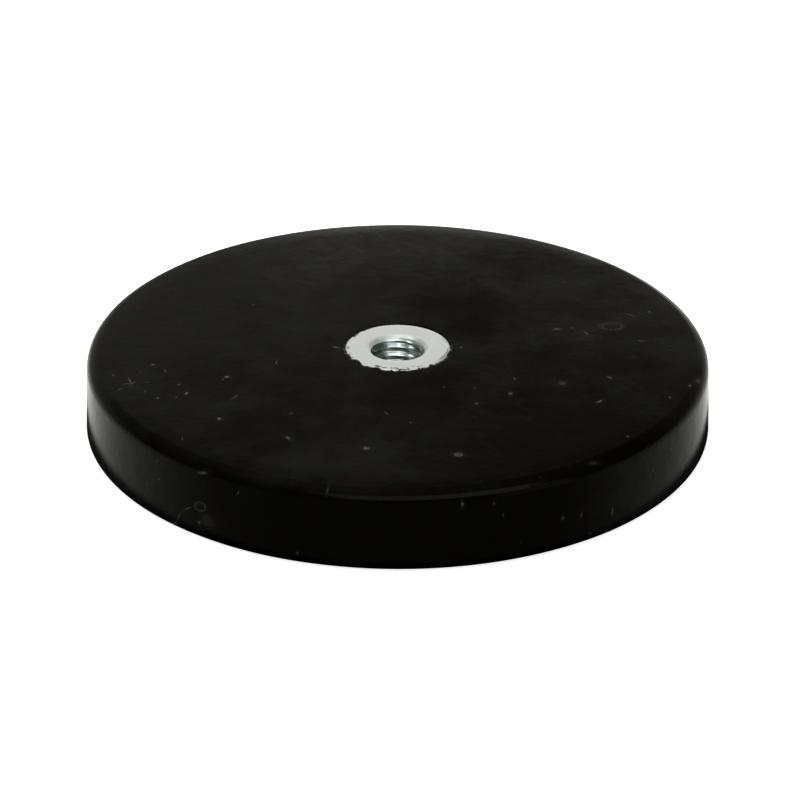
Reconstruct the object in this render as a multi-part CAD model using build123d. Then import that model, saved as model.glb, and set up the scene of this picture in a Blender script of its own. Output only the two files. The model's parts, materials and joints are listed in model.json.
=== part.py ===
from build123d import *

import math
import os

# A rubber-coated pot magnet. Two rings of disc magnets sit in pockets under a steel backing
# plate, a threaded bush is clinched into the middle of the plate, and a rubber jacket is
# moulded round all of it. The bush comes up flush with the jacket's top face, and the flat
# underside of the jacket is the face that grips.
#
# Millimetres. +Z is up along the thread, and the origin is the centre of the grip face.

# --- Rubber jacket ---------------------------------------------------------------------
OUTER_D = 66.0  # across the grip face, before its edge is rounded
SIDE_DRAFT = 2.0  # degrees that the side wall leans in towards the top
TOP_EDGE_R = 1.5  # rounding between the top face and the side wall
GRIP_EDGE_R = 0.4  # rounding between the side wall and the grip face
GRIP_SKIN = 0.8  # rubber between the magnets and the grip face
TOP_COVER = 2.5  # rubber over the backing plate
SIDE_WALL = 3.0  # rubber outside the backing plate, at the grip face

# --- Backing plate ---------------------------------------------------------------------
PLATE_T = 2.5
PLATE_EDGE = 0.3  # deburring bevel round the plate
POCKET_DEPTH = 0.3  # shallow pockets that locate the magnets
PLATE_MARGIN = 1.0  # plate left outside the outer ring of magnets

# --- Disc magnets ----------------------------------------------------------------------
MAGNET_D = 10.0
MAGNET_T = 3.0
MAGNET_EDGE = 0.2  # bevel round each end of a magnet
OUTER_MAGNETS = 12  # magnets in the outer ring, an even number because the poles alternate
INNER_MAGNETS = 6  # and in the inner ring

# --- Threaded bush ---------------------------------------------------------------------
THREAD_D = 6.0  # nominal diameter of the coarse metric thread
THREAD_PITCH = 1.0
MOUTH_RELIEF = 0.2  # how far the countersink reaches outside the thread
BUSH_WALL = 1.5  # metal between the thread and the outside of the neck
HEAD_LIP = 1.1  # how far the head stands out over the plate
HEAD_BEVEL = 0.25  # bevel round the head, which the rubber leaves bare
COLLAR_LIP = 0.8  # how far the clinched collar stands out under the plate
COLLAR_T = 0.8

# --- Heights above the grip face -------------------------------------------------------
MAGNET_TOP = GRIP_SKIN + MAGNET_T
PLATE_BOTTOM = MAGNET_TOP - POCKET_DEPTH
PLATE_TOP = PLATE_BOTTOM + PLATE_T
HEIGHT = PLATE_TOP + TOP_COVER
BUSH_BOTTOM = PLATE_BOTTOM - COLLAR_T

# --- Radii -----------------------------------------------------------------------------
OUTER_R = OUTER_D / 2
PLATE_R = OUTER_R - SIDE_WALL
MAGNET_R = MAGNET_D / 2
BORE_R = (THREAD_D - THREAD_PITCH) / 2  # tapping bore, which touches the thread's crests
MOUTH_R = THREAD_D / 2 + MOUTH_RELIEF
NECK_R = THREAD_D / 2 + BUSH_WALL
HEAD_R = NECK_R + HEAD_LIP
COLLAR_R = NECK_R + COLLAR_LIP
OUTER_RING_R = PLATE_R - PLATE_MARGIN - MAGNET_R
INNER_RING_R = (COLLAR_R + OUTER_RING_R - MAGNET_R) / 2  # midway from collar to outer ring

STANDING = (Align.CENTER, Align.CENTER, Align.MIN)
HANGING = (Align.CENTER, Align.CENTER, Align.MAX)


def end_edges(solid, end):
    """The edges round the highest (end = -1) or lowest (end = 0) face of a solid."""
    return solid.faces().sort_by(Axis.Z)[end].edges()


def standing_disc(radius, thickness, edge):
    """A disc that stands at height 0, with a bevel round both of its ends."""
    disc = Cylinder(radius, thickness, align=STANDING)
    return chamfer(end_edges(disc, -1) + end_edges(disc, 0), edge)


def make_magnets():
    """Every disc magnet under its node name, spaced evenly round the two rings."""
    rings = [("outer", OUTER_RING_R, OUTER_MAGNETS), ("inner", INNER_RING_R, INNER_MAGNETS)]
    magnets = {}
    for ring, ring_r, count in rings:
        for number in range(count):
            place = Rot(Z=number * 360 / count) * Pos(ring_r, 0, GRIP_SKIN)
            name = f"{ring}_magnet_{number + 1:02d}"
            magnets[name] = place * standing_disc(MAGNET_R, MAGNET_T, MAGNET_EDGE)
    return magnets


def make_bush_blank():
    """The bush before it is bevelled and drilled: head, neck and clinched collar.

    The plate is clinched on this form and the rubber is moulded round it.
    """
    section = [
        (0, BUSH_BOTTOM),
        (COLLAR_R, BUSH_BOTTOM),
        (COLLAR_R, PLATE_BOTTOM),
        (NECK_R, PLATE_BOTTOM),
        (NECK_R, PLATE_TOP),
        (HEAD_R, PLATE_TOP),
        (HEAD_R, HEIGHT),
        (0, HEIGHT),
    ]
    outline = Polyline(*[(radius, 0, height) for radius, height in section], close=True)
    return revolve(make_face(outline), Axis.Z)


def make_threaded_bush(blank):
    """The blank with its head bevelled, a tapping bore through it and a countersunk mouth."""
    bush = chamfer(end_edges(blank, -1), HEAD_BEVEL)
    countersink = MOUTH_R - BORE_R
    bore = Pos(0, 0, HEIGHT) * Cylinder(BORE_R, HEIGHT - BUSH_BOTTOM, align=HANGING)
    mouth = Pos(0, 0, HEIGHT) * Cone(BORE_R, MOUTH_R, countersink, align=HANGING)
    return bush - [bore, mouth]


def make_backing_plate(blank, magnets):
    """The steel disc, with the bush through its middle and the magnets' pockets below."""
    plate = Pos(0, 0, PLATE_BOTTOM) * standing_disc(PLATE_R, PLATE_T, PLATE_EDGE)
    return plate - [blank, *magnets]


def make_rubber_jacket(blank, plate, magnets):
    """The moulded jacket: a drafted disc that fills every space round the metal."""
    lean = HEIGHT * math.tan(math.radians(SIDE_DRAFT))
    jacket = Cone(OUTER_R, OUTER_R - lean, HEIGHT, align=STANDING)
    jacket = fillet(end_edges(jacket, -1), TOP_EDGE_R)
    jacket = fillet(end_edges(jacket, 0), GRIP_EDGE_R)
    return jacket - [blank, plate, *magnets]


def main():
    blank = make_bush_blank()
    magnets = make_magnets()
    plate = make_backing_plate(blank, magnets.values())
    nodes = {
        "rubber_jacket": make_rubber_jacket(blank, plate, magnets.values()),
        "backing_plate": plate,
        "threaded_bush": make_threaded_bush(blank),
        **magnets,
    }
    os.makedirs("parts", exist_ok=True)
    for name, solid in nodes.items():
        export_step(solid, f"parts/{name}.step")


main()
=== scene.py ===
"""Dresses the solids of a rubber-coated pot magnet and sets them on a pale studio floor.

The moulded rubber jacket and the threaded bush get finer meshes of the same form. The steel
plate and the disc magnets inside keep their solids and get plated finishes. Lengths are in
metres, +Z is up along the thread, and the origin is the centre of the grip face.
"""

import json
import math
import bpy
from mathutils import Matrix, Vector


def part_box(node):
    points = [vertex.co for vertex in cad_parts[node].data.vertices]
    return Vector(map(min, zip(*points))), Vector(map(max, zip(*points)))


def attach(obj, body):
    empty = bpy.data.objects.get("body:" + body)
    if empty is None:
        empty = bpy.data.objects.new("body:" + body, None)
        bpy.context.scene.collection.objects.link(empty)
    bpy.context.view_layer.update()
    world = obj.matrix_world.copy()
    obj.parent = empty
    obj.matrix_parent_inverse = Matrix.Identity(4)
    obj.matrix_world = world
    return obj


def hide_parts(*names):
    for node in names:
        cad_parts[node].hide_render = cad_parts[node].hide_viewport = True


bl_info = {
    "name": "Rubber-Coated Pot Magnet",
    "version": (1, 0, 0),
    "blender": (4, 5, 0),
    "location": "3D View > Sidebar > Pot Magnet",
    "description": "Moulded jacket, threaded bush and plated steel of a rubber-coated pot magnet",
    "category": "Object",
}

import bmesh
import bpy
from bpy.props import FloatProperty, FloatVectorProperty, PointerProperty
from mathutils import Matrix, Vector, noise

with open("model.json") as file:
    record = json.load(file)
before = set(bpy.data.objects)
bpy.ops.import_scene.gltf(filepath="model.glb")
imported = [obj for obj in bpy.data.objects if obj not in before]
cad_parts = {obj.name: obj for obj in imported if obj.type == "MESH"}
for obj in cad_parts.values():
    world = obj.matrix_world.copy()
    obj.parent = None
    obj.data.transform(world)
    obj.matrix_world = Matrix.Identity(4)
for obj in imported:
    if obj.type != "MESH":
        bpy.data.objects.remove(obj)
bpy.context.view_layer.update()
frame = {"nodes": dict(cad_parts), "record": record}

MM = 0.001
BODY = "root"
JACKET_LOW, JACKET_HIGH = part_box("rubber_jacket")
PLATE_LOW, PLATE_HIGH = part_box("backing_plate")
BUSH_LOW, BUSH_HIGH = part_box("threaded_bush")
MAGNETS = sorted(name for name in frame["nodes"] if "magnet" in name)
MAGNET_BOXES = [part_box(name) for name in MAGNETS]
THREAD_MOUNT = next(m for m in frame["record"]["mounts"] if m["name"] == "thread")
BORE_R = THREAD_MOUNT["dims"]["r_mm"] * MM
HEAD_R = BUSH_HIGH.x
TOP_Z = JACKET_HIGH.z
TOP_MM = TOP_Z / MM  # the shaders measure in millimetres

ROUND_STEPS = 360  # steps round the jacket
FLASH_STEPS = 720  # steps round its ragged edge at the bush
BUSH_STEPS = 192  # steps round the bush
MOUTH_CUT = 0.18 * MM  # how far down the countersink's upper rings reach
GRIP_STEPS, TOP_STEPS = 40, 48  # steps across the jacket's flat faces
FOOT_STEPS, WALL_STEPS, RIM_STEPS = 8, 12, 18  # and along its section between them
WALL_GAP = 0.5 * MM  # the jacket's skin is nowhere nearer to the plate than this
LIP_WIDTH = 1.2 * MM  # how far round the head the finer mesh of the lip reaches
WAVE_SIZE = 9 * MM  # how wide the sunk places of the moulded skin are
TINY = 0.001 * MM


# --- Settings --------------------------------------------------------------------------


class JacketSettings(bpy.types.PropertyGroup):
    top_edge: FloatProperty(
        name="Top Edge Radius", description="Rounding between the top face and the side wall",
        default=1.5 * MM, min=0.1 * MM, unit="LENGTH")
    grip_edge: FloatProperty(
        name="Grip Edge Radius", description="Rounding between the side wall and the grip face",
        default=0.4 * MM, min=0.05 * MM, unit="LENGTH")
    draft: FloatProperty(
        name="Side Draft", description="How far the side wall leans in towards the top",
        default=math.radians(2), min=0, subtype="ANGLE")
    roll_off: FloatProperty(
        name="Roll-Off", description="How far the top face has sunk where its edge starts",
        default=0.08 * MM, min=0, unit="LENGTH")
    roll_width: FloatProperty(
        name="Roll-Off Width", description="How far from the edge the top face starts to sink",
        default=2.2 * MM, min=0.1 * MM, unit="LENGTH")
    waviness: FloatProperty(
        name="Waviness", description="How far the moulded faces sink in places",
        default=0.04 * MM, min=0, unit="LENGTH")
    shrinkage: FloatProperty(
        name="Shrinkage", description="How far the grip face sinks between the magnets",
        default=0.03 * MM, min=0, unit="LENGTH")
    flash: FloatProperty(
        name="Flash", description="How far the ragged rubber creeps over the bush's bevel",
        default=0.22 * MM, min=0, unit="LENGTH")
    rubber: FloatVectorProperty(
        name="Rubber", description="Colour of clean rubber", subtype="COLOR", size=4,
        default=(0.0013, 0.0009, 0.0007, 1), min=0, max=1)
    bloom: FloatVectorProperty(
        name="Bloom", description="Colour where the rubber has bloomed", subtype="COLOR", size=4,
        default=(0.0066, 0.0066, 0.0054, 1), min=0, max=1)
    dust: FloatVectorProperty(
        name="Dust", description="Colour of specks and scuffs", subtype="COLOR", size=4,
        default=(0.15, 0.15, 0.13, 1), min=0, max=1)
    roughness: FloatProperty(
        name="Roughness", description="Roughness of clean rubber",
        default=0.13, min=0, max=1, subtype="FACTOR")


class BushSettings(bpy.types.PropertyGroup):
    pitch: FloatProperty(
        name="Thread Pitch", description="Rise of the thread in one turn",
        default=1.0 * MM, min=0.2 * MM, unit="LENGTH")
    root_d: FloatProperty(
        name="Thread Diameter", description="Diameter at the roots of the thread",
        default=6.0 * MM, min=1 * MM, unit="LENGTH")
    mouth_d: FloatProperty(
        name="Mouth Diameter", description="Countersunk mouth on the head's face",
        default=6.4 * MM, min=1 * MM, unit="LENGTH")
    mouth_edge: FloatProperty(
        name="Mouth Edge", description="How softly the head's face turns down into the mouth",
        default=0.15 * MM, min=0.02 * MM, unit="LENGTH")
    bevel: FloatProperty(
        name="Head Bevel", description="Bevel round the head's face",
        default=0.25 * MM, min=0.02 * MM, unit="LENGTH")
    neck_d: FloatProperty(
        name="Neck Diameter", description="Outside of the bush where it passes through the plate",
        default=9.0 * MM, min=1 * MM, unit="LENGTH")
    collar_d: FloatProperty(
        name="Collar Diameter", description="Clinched collar under the plate",
        default=10.6 * MM, min=1 * MM, unit="LENGTH")
    start: FloatProperty(
        name="Thread Start", description="Where round the bush the thread starts",
        default=math.radians(299), subtype="ANGLE")
    zinc: FloatVectorProperty(
        name="Zinc", description="Colour of the zinc plating", subtype="COLOR", size=4,
        default=(0.76, 0.79, 0.765, 1), min=0, max=1)
    residue: FloatVectorProperty(
        name="Residue", description="Colour of rubber left on the head's edge",
        subtype="COLOR", size=4, default=(0.02, 0.02, 0.018, 1), min=0, max=1)


class InsideSettings(bpy.types.PropertyGroup):
    plate: FloatVectorProperty(
        name="Plate", description="Colour of the plate's zinc", subtype="COLOR", size=4,
        default=(0.62, 0.64, 0.66, 1), min=0, max=1)
    nickel: FloatVectorProperty(
        name="Nickel", description="Colour of the magnets' nickel", subtype="COLOR", size=4,
        default=(0.66, 0.61, 0.54, 1), min=0, max=1)


class StageSettings(bpy.types.PropertyGroup):
    floor_side: FloatProperty(
        name="Floor Side", description="Length of each side of the square floor",
        default=6, min=1, unit="LENGTH")
    lens: FloatProperty(
        name="Lens", description="Focal length on a sensor 36 mm wide, in millimetres",
        default=174.26, min=10)
    camera_place: FloatVectorProperty(
        name="Camera Place", description="Where the camera stands", subtype="TRANSLATION",
        default=(0.25 * MM, -366.66 * MM, 187.36 * MM), unit="LENGTH")
    camera_down: FloatProperty(
        name="Camera Down", description="How far the camera looks down from level",
        default=math.radians(26.789), subtype="ANGLE")
    camera_roll: FloatProperty(
        name="Camera Roll", description="Turn of the camera about its own line of sight",
        default=math.radians(0.207), subtype="ANGLE")


# --- Mesh helpers ----------------------------------------------------------------------


def arc(centre, radius, start, end, steps):
    """(radius, height, normal angle) along an arc in the section."""
    points = []
    for step in range(steps + 1):
        angle = start + (end - start) * step / steps
        points.append((
            centre[0] + radius * math.cos(angle),
            centre[1] + radius * math.sin(angle),
            angle,
        ))
    return points


def straight(start, end, normal, steps):
    """(radius, height, normal angle) along a line in the section, without its two ends."""
    return [
        (
            start[0] + (end[0] - start[0]) * step / steps,
            start[1] + (end[1] - start[1]) * step / steps,
            normal,
        )
        for step in range(1, steps)
    ]


def around(steps):
    """The angles of evenly spaced places round Z."""
    return [math.tau * step / steps for step in range(steps)]


def at(radius, turn, height):
    """The place at a radius, an angle round Z and a height."""
    return Vector((radius * math.cos(turn), radius * math.sin(turn), height))


def flat_ring(bm, radius, height, steps):
    """Vertices of a plain circle round Z."""
    return [bm.verts.new(at(radius, turn, height)) for turn in around(steps)]


def join_rings(bm, first, second):
    """Quads between two rings with as many vertices each."""
    for index in range(len(first)):
        after = (index + 1) % len(first)
        bm.faces.new((first[index], first[after], second[after], second[index]))


def join_all(bm, rings):
    """Quads between each ring and the next."""
    for first, second in zip(rings, rings[1:]):
        join_rings(bm, first, second)


def fan(bm, ring, centre):
    """Triangles from a ring to a vertex in its middle."""
    middle = bm.verts.new(centre)
    for index, vertex in enumerate(ring):
        bm.faces.new((vertex, ring[(index + 1) % len(ring)], middle))


def turn_of(vertex):
    """The angle of a vertex round Z, from 0 to a full turn."""
    return math.atan2(vertex.co.y, vertex.co.x) % math.tau


def zip_rings(bm, first, second):
    """Triangles between two rings round Z whose vertices don't match."""
    first = sorted(first, key=turn_of)
    second = sorted(second, key=turn_of)
    a = b = 0
    while a < len(first) or b < len(second):
        here_a, here_b = first[a % len(first)], second[b % len(second)]
        next_a, next_b = first[(a + 1) % len(first)], second[(b + 1) % len(second)]
        turn_a = turn_of(next_a) + (math.tau if a + 1 >= len(first) else 0)
        turn_b = turn_of(next_b) + (math.tau if b + 1 >= len(second) else 0)
        if b >= len(second) or (a < len(first) and turn_a <= turn_b):
            bm.faces.new((here_a, next_a, here_b))
            a += 1
        else:
            bm.faces.new((here_a, next_b, here_b))
            b += 1


def open_ring(bm, height):
    """The vertices of the mesh's open edge at a height."""
    found = {
        vertex
        for edge in bm.edges if edge.is_boundary
        for vertex in edge.verts if abs(vertex.co.z - height) < 10 * TINY
    }
    if not found:
        raise RuntimeError(f"there is no open edge at {height / MM:.2f} mm")
    return list(found)


def add_piece(name, bm, replaced, material, sharp_from):
    """Turns the finished mesh into a piece that stands for a node of the frame."""
    bmesh.ops.recalc_face_normals(bm, faces=bm.faces)
    loose = [edge for edge in bm.edges if not edge.is_manifold]
    if loose:
        raise RuntimeError(f"{name} isn't closed at {len(loose)} edges")
    mesh = bpy.data.meshes.new(name)
    bm.to_mesh(mesh)
    bm.free()
    mesh.shade_smooth()
    mesh.set_sharp_from_angle(angle=sharp_from)
    mesh.materials.append(material)
    piece = bpy.data.objects.new(name, mesh)
    bpy.context.scene.collection.objects.link(piece)
    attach(piece, BODY)
    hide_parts(replaced)
    return piece


def finish_node(name, material):
    """Gives a solid that stays in view the finish of its slot."""
    for slot in frame["nodes"][name].material_slots:
        slot.material = material


# --- Shader helpers --------------------------------------------------------------------


def add_node(tree, kind, inputs=None, **settings):
    """A node with its settings, and each named input fed by a value or by another output."""
    made = tree.nodes.new(kind)
    for name, value in settings.items():
        setattr(made, name, value)
    for name, value in (inputs or {}).items():
        feed(tree, made.inputs[name], value)
    return made


def feed(tree, socket, value):
    """Links an output to a socket, or sets the socket's own value."""
    if isinstance(value, bpy.types.NodeSocket):
        tree.links.new(value, socket)
    else:
        socket.default_value = value


def calc(tree, operation, *values, clamp=False):
    """The result of a Math node."""
    made = add_node(tree, "ShaderNodeMath", operation=operation, use_clamp=clamp)
    for socket, value in zip(made.inputs, values):
        feed(tree, socket, value)
    return made.outputs[0]


def product(tree, first, *others):
    """Values multiplied together."""
    for other in others:
        first = calc(tree, "MULTIPLY", first, other)
    return first


def vector_calc(tree, operation, *values, scale=None):
    """The result of a Vector Math node: a number for a length or distance, or else a vector."""
    made = add_node(tree, "ShaderNodeVectorMath", operation=operation)
    for socket, value in zip(made.inputs, values):
        feed(tree, socket, value)
    if scale is not None:
        feed(tree, made.inputs["Scale"], scale)
    return made.outputs["Value" if operation in ("LENGTH", "DISTANCE") else "Vector"]


def xyz(tree, vector):
    """The three parts of a vector."""
    return add_node(tree, "ShaderNodeSeparateXYZ", {"Vector": vector}).outputs


def between(tree, value, low, high, to_low=0.0, to_high=1.0, smooth=False):
    """A value mapped from one range to another and held inside it."""
    made = add_node(
        tree, "ShaderNodeMapRange",
        {"Value": value, "From Min": low, "From Max": high, "To Min": to_low, "To Max": to_high},
        interpolation_type="SMOOTHSTEP" if smooth else "LINEAR", clamp=not smooth,
    )
    return made.outputs["Result"]


def mix(tree, share, first, second, blend="MIX"):
    """A colour between two colours, or the first one multiplied by the second."""
    made = add_node(tree, "ShaderNodeMix", data_type="RGBA", blend_type=blend)
    feed(tree, made.inputs["Factor"], share)
    feed(tree, made.inputs[6], first)
    feed(tree, made.inputs[7], second)
    return made.outputs[2]


def clouds(tree, place, scale, detail, roughness=0.5):
    """Cloudy noise: its value and its colour, with so many clouds in each millimetre."""
    return add_node(tree, "ShaderNodeTexNoise", {
        "Vector": place, "Scale": scale, "Detail": detail, "Roughness": roughness}).outputs


def new_group(name, inputs, outputs):
    """An empty shader node group: its tree, its input node's outputs and its output node."""
    tree = bpy.data.node_groups.new(name, "ShaderNodeTree")
    for label, kind, default in inputs:
        socket = tree.interface.new_socket(label, in_out="INPUT", socket_type=kind)
        if default is not None:
            socket.default_value = default
    for label, kind in outputs:
        tree.interface.new_socket(label, in_out="OUTPUT", socket_type=kind)
    return tree, tree.nodes.new("NodeGroupInput").outputs, tree.nodes.new("NodeGroupOutput")


def use_group(tree, group, **inputs):
    """A group's only result, with underscores for the spaces of its inputs' names."""
    named = {name.replace("_", " "): value for name, value in inputs.items()}
    return add_node(tree, "ShaderNodeGroup", named, node_tree=group).outputs[0]


def place_in_mm(tree):
    """Where on its piece a point of the surface lies, in millimetres."""
    place = add_node(tree, "ShaderNodeTexCoord").outputs["Object"]
    return vector_calc(tree, "SCALE", place, scale=1 / MM)


def bare_material(name):
    """A material and its empty tree."""
    material = bpy.data.materials.new(name)
    material.use_nodes = True
    material.node_tree.nodes.clear()
    return material, material.node_tree


def new_material(name):
    """A node material: its tree and its Principled shader, linked to its output."""
    material, tree = bare_material(name)
    shader = tree.nodes.new("ShaderNodeBsdfPrincipled")
    add_node(tree, "ShaderNodeOutputMaterial", {"Surface": shader.outputs["BSDF"]})
    return material, tree, shader


def add_bump(tree, shader, height, unit):
    """Shades the surface as if it had a height, given in a small unit."""
    bump = add_node(tree, "ShaderNodeBump", {
        "Height": height, "Strength": 1.0, "Distance": unit})
    feed(tree, shader.inputs["Normal"], bump.outputs["Normal"])


# --- Shared effects --------------------------------------------------------------------


def mottling_group():
    """Soft uneven patches, as of bloom on rubber or stain on plating."""
    tree, given, result = new_group(
        "Mottling",
        [("Place", "NodeSocketVector", None), ("Patch Size", "NodeSocketFloat", 8.0),
         ("Contrast", "NodeSocketFloat", 0.5)],
        [("Patches", "NodeSocketFloat")],
    )
    scale = calc(tree, "DIVIDE", 1.0, given["Patch Size"])
    broad = clouds(tree, given["Place"], scale, 4.0, 0.55)[0]
    reach = calc(tree, "DIVIDE", 0.15, given["Contrast"])
    low = calc(tree, "SUBTRACT", 0.5, reach)
    high = calc(tree, "ADD", 0.5, reach)
    feed(tree, result.inputs["Patches"], between(tree, broad, low, high, smooth=True))
    return tree


def speck_group():
    """Scattered round specks of one size, such as dust."""
    tree, given, result = new_group(
        "Specks",
        [("Place", "NodeSocketVector", None), ("Spacing", "NodeSocketFloat", 2.0),
         ("Speck Size", "NodeSocketFloat", 0.1), ("Share", "NodeSocketFloat", 0.2),
         ("Ragged", "NodeSocketFloat", 0.4)],
        [("Specks", "NodeSocketFloat")],
    )
    warp = clouds(tree, given["Place"], calc(tree, "DIVIDE", 0.6, given["Speck Size"]), 2.0)[0]
    push = product(tree, calc(tree, "SUBTRACT", warp, 0.5), given["Ragged"])
    cells = add_node(tree, "ShaderNodeTexVoronoi", {
        "Vector": given["Place"], "Scale": calc(tree, "DIVIDE", 1.0, given["Spacing"]),
        "Randomness": 1.0})
    away = product(tree, cells.outputs["Distance"], given["Spacing"])
    chance = xyz(tree, cells.outputs["Color"])
    size = product(tree, given["Speck Size"], between(tree, chance["Y"], 0.0, 1.0, 0.35, 1.0))
    edge = calc(tree, "ADD", calc(tree, "DIVIDE", away, size), push)
    body = between(tree, edge, 1.0, 0.35)
    chosen = calc(tree, "LESS_THAN", chance["X"], given["Share"])
    fade = between(tree, chance["Z"], 0.0, 1.0, 0.25, 1.0)
    feed(tree, result.inputs["Specks"], product(tree, body, chosen, fade))
    return tree


def scuff_group():
    """One placed mark: an uneven dab, or an uneven ring where Hollow is 1."""
    tree, given, result = new_group(
        "Scuff",
        [("Place", "NodeSocketVector", None), ("Centre", "NodeSocketVector", None),
         ("Turn", "NodeSocketVector", None), ("Half Size", "NodeSocketVector", (1, 1, 1)),
         ("Grit", "NodeSocketFloat", 0.5), ("Hollow", "NodeSocketFloat", 0.0),
         ("Strength", "NodeSocketFloat", 1.0)],
        [("Mark", "NodeSocketFloat")],
    )
    local = add_node(tree, "ShaderNodeMapping", {
        "Vector": given["Place"], "Location": given["Centre"], "Rotation": given["Turn"],
        "Scale": given["Half Size"]}, vector_type="TEXTURE").outputs[0]
    away = vector_calc(tree, "LENGTH", local)
    grit = given["Grit"]
    ragged = calc(tree, "MULTIPLY_ADD", calc(tree, "SUBTRACT", grit, 0.5), 2.0, away)
    solid = between(tree, ragged, 1.0, 0.2, smooth=True)
    off_ring = calc(tree, "ABSOLUTE", calc(tree, "SUBTRACT", ragged, 0.8))
    ring = between(tree, off_ring, 0.2, 0.03, smooth=True)
    body = calc(tree, "ADD", product(tree, ring, given["Hollow"]),
                product(tree, solid, calc(tree, "SUBTRACT", 1.0, given["Hollow"])))
    patchy = between(tree, grit, 0.36, 0.56, smooth=True)
    inside = calc(tree, "LESS_THAN", away, 1.6)
    haze = between(tree, ragged, 2.2, 0.2, 0.0, 0.07, smooth=True)
    shown = calc(tree, "MAXIMUM", product(tree, body, patchy, inside), haze)
    feed(tree, result.inputs["Mark"], product(tree, shown, given["Strength"]))
    return tree


def grain_group():
    """Height of a fine uneven grain, as of moulded rubber or a plated surface."""
    tree, given, result = new_group(
        "Grain",
        [("Place", "NodeSocketVector", None), ("Grain Size", "NodeSocketFloat", 0.3),
         ("Pits", "NodeSocketFloat", 0.3)],
        [("Height", "NodeSocketFloat")],
    )
    scale = calc(tree, "DIVIDE", 1.0, given["Grain Size"])
    fine = clouds(tree, given["Place"], scale, 3.0, 0.6)[0]
    pits = add_node(tree, "ShaderNodeTexVoronoi", {
        "Vector": given["Place"], "Scale": calc(tree, "DIVIDE", 0.35, given["Grain Size"])})
    pit = between(tree, pits.outputs["Distance"], 0.0, 0.25)
    drop = product(tree, calc(tree, "SUBTRACT", 1.0, pit), given["Pits"])
    feed(tree, result.inputs["Height"], calc(tree, "SUBTRACT", fine, drop))
    return tree


def effects():
    """Every shared effect under its name, built once."""
    makers = {
        "Mottling": mottling_group, "Specks": speck_group,
        "Scuff": scuff_group, "Grain": grain_group,
    }
    return {name: bpy.data.node_groups.get(name) or make() for name, make in makers.items()}


# --- Rubber ----------------------------------------------------------------------------

# Scuffs on the top face: place from the thread's axis, half sizes and turn, in mm and
# degrees, then how hollow and how strong.
TOP_SCUFFS = [
    ((-27.7, -8.2), (1.1, 0.1), -74, 0, 0.6), ((-28.0, -8.9), (0.55, 0.12), 20, 0, 0.5),
    ((-27.4, -8.7), (0.6, 0.1), 55, 0, 0.6), ((-28.6, -10.1), (0.5, 0.12), 50, 0, 0.4),
    ((-29.5, -6.9), (0.2, 0.2), 0, 0, 0.5), ((-26.7, -6.3), (0.13, 0.13), 0, 0, 0.6),
    ((-25.5, -4.4), (0.3, 0.28), 0, 0, 0.55), ((-24.2, -5.8), (0.5, 0.1), -75, 0, 0.4),
    ((-26.0, -10.6), (0.35, 0.1), 90, 0, 0.4), ((-22.6, -9.0), (0.25, 0.15), 60, 0, 0.4),
    ((-21.7, -11.0), (0.35, 0.25), 70, 0, 0.8), ((-22.7, -11.9), (0.15, 0.15), 0, 0, 0.7),
    ((-24.6, -12.1), (0.3, 0.2), 60, 0, 0.6), ((-17.7, -7.2), (0.35, 0.3), 20, 0, 0.8),
    ((-18.1, -7.8), (0.35, 0.12), 60, 0, 0.4), ((-12.7, -3.8), (0.5, 0.1), 85, 0, 0.5),
    ((-16.7, -11.8), (0.9, 0.16), 62, 0, 0.35), ((-18.1, -16.7), (0.22, 0.3), 0, 0, 1.0),
    ((-10.8, -15.5), (0.16, 0.16), 0, 0, 0.5), ((-11.0, -20.9), (0.6, 0.25), -60, 0, 0.5),
    ((-21.6, -21.2), (0.5, 0.1), 90, 0, 0.35), ((-15.6, 10.2), (0.2, 0.2), 0, 0, 0.35),
    ((-6.5, -0.1), (0.7, 0.25), -25, 0, 0.45), ((6.7, 0.0), (0.2, 0.2), 0, 0, 0.6),
    ((-3.1, -23.1), (0.42, 0.35), 0, 0, 0.9), ((6.1, -24.4), (0.5, 0.42), 0, 0.5, 0.9),
    ((1.3, -17.4), (0.3, 0.1), -60, 0, 0.4), ((-1.1, -15.4), (0.6, 0.1), -60, 0, 0.4),
    ((18.5, 4.8), (0.16, 0.16), 0, 0, 0.45), ((16.9, 4.5), (0.7, 0.4), 10, 0, 0.3),
    ((20.0, 3.5), (0.8, 0.18), -60, 0, 0.4), ((22.8, 5.2), (1.5, 1.1), 0, 1, 0.14),
    ((25.7, 1.7), (0.6, 0.2), -20, 0, 0.3), ((27.0, 8.9), (0.4, 0.2), 90, 0, 0.4),
    ((25.0, 8.0), (0.9, 0.14), -40, 0, 0.3), ((31.3, -7.2), (0.5, 0.9), -20, 0, 0.5),
    ((30.2, -8.7), (0.2, 0.4), -15, 0, 0.5), ((28.0, -11.5), (0.16, 0.16), 0, 0, 0.9),
    ((22.0, -7.0), (0.5, 0.25), -50, 0, 0.4), ((12.1, -7.4), (0.16, 0.3), 0, 0, 0.45),
    ((8.0, -9.5), (0.12, 0.12), 0, 0, 0.6), ((17.0, -8.4), (0.6, 0.7), 0, 0, 0.25),
    ((11.6, -10.8), (0.35, 0.5), 10, 0, 0.4), ((20.7, -12.5), (0.55, 0.18), 45, 0, 0.8),
    ((8.1, -13.1), (0.3, 0.4), 0, 0, 0.35), ((19.6, -25.5), (0.6, 0.2), 25, 0, 0.6),
    ((23.2, -20.2), (0.2, 0.2), 0, 0, 0.5), ((4.8, -9.4), (0.13, 0.13), 0, 0, 0.5),
]
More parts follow.
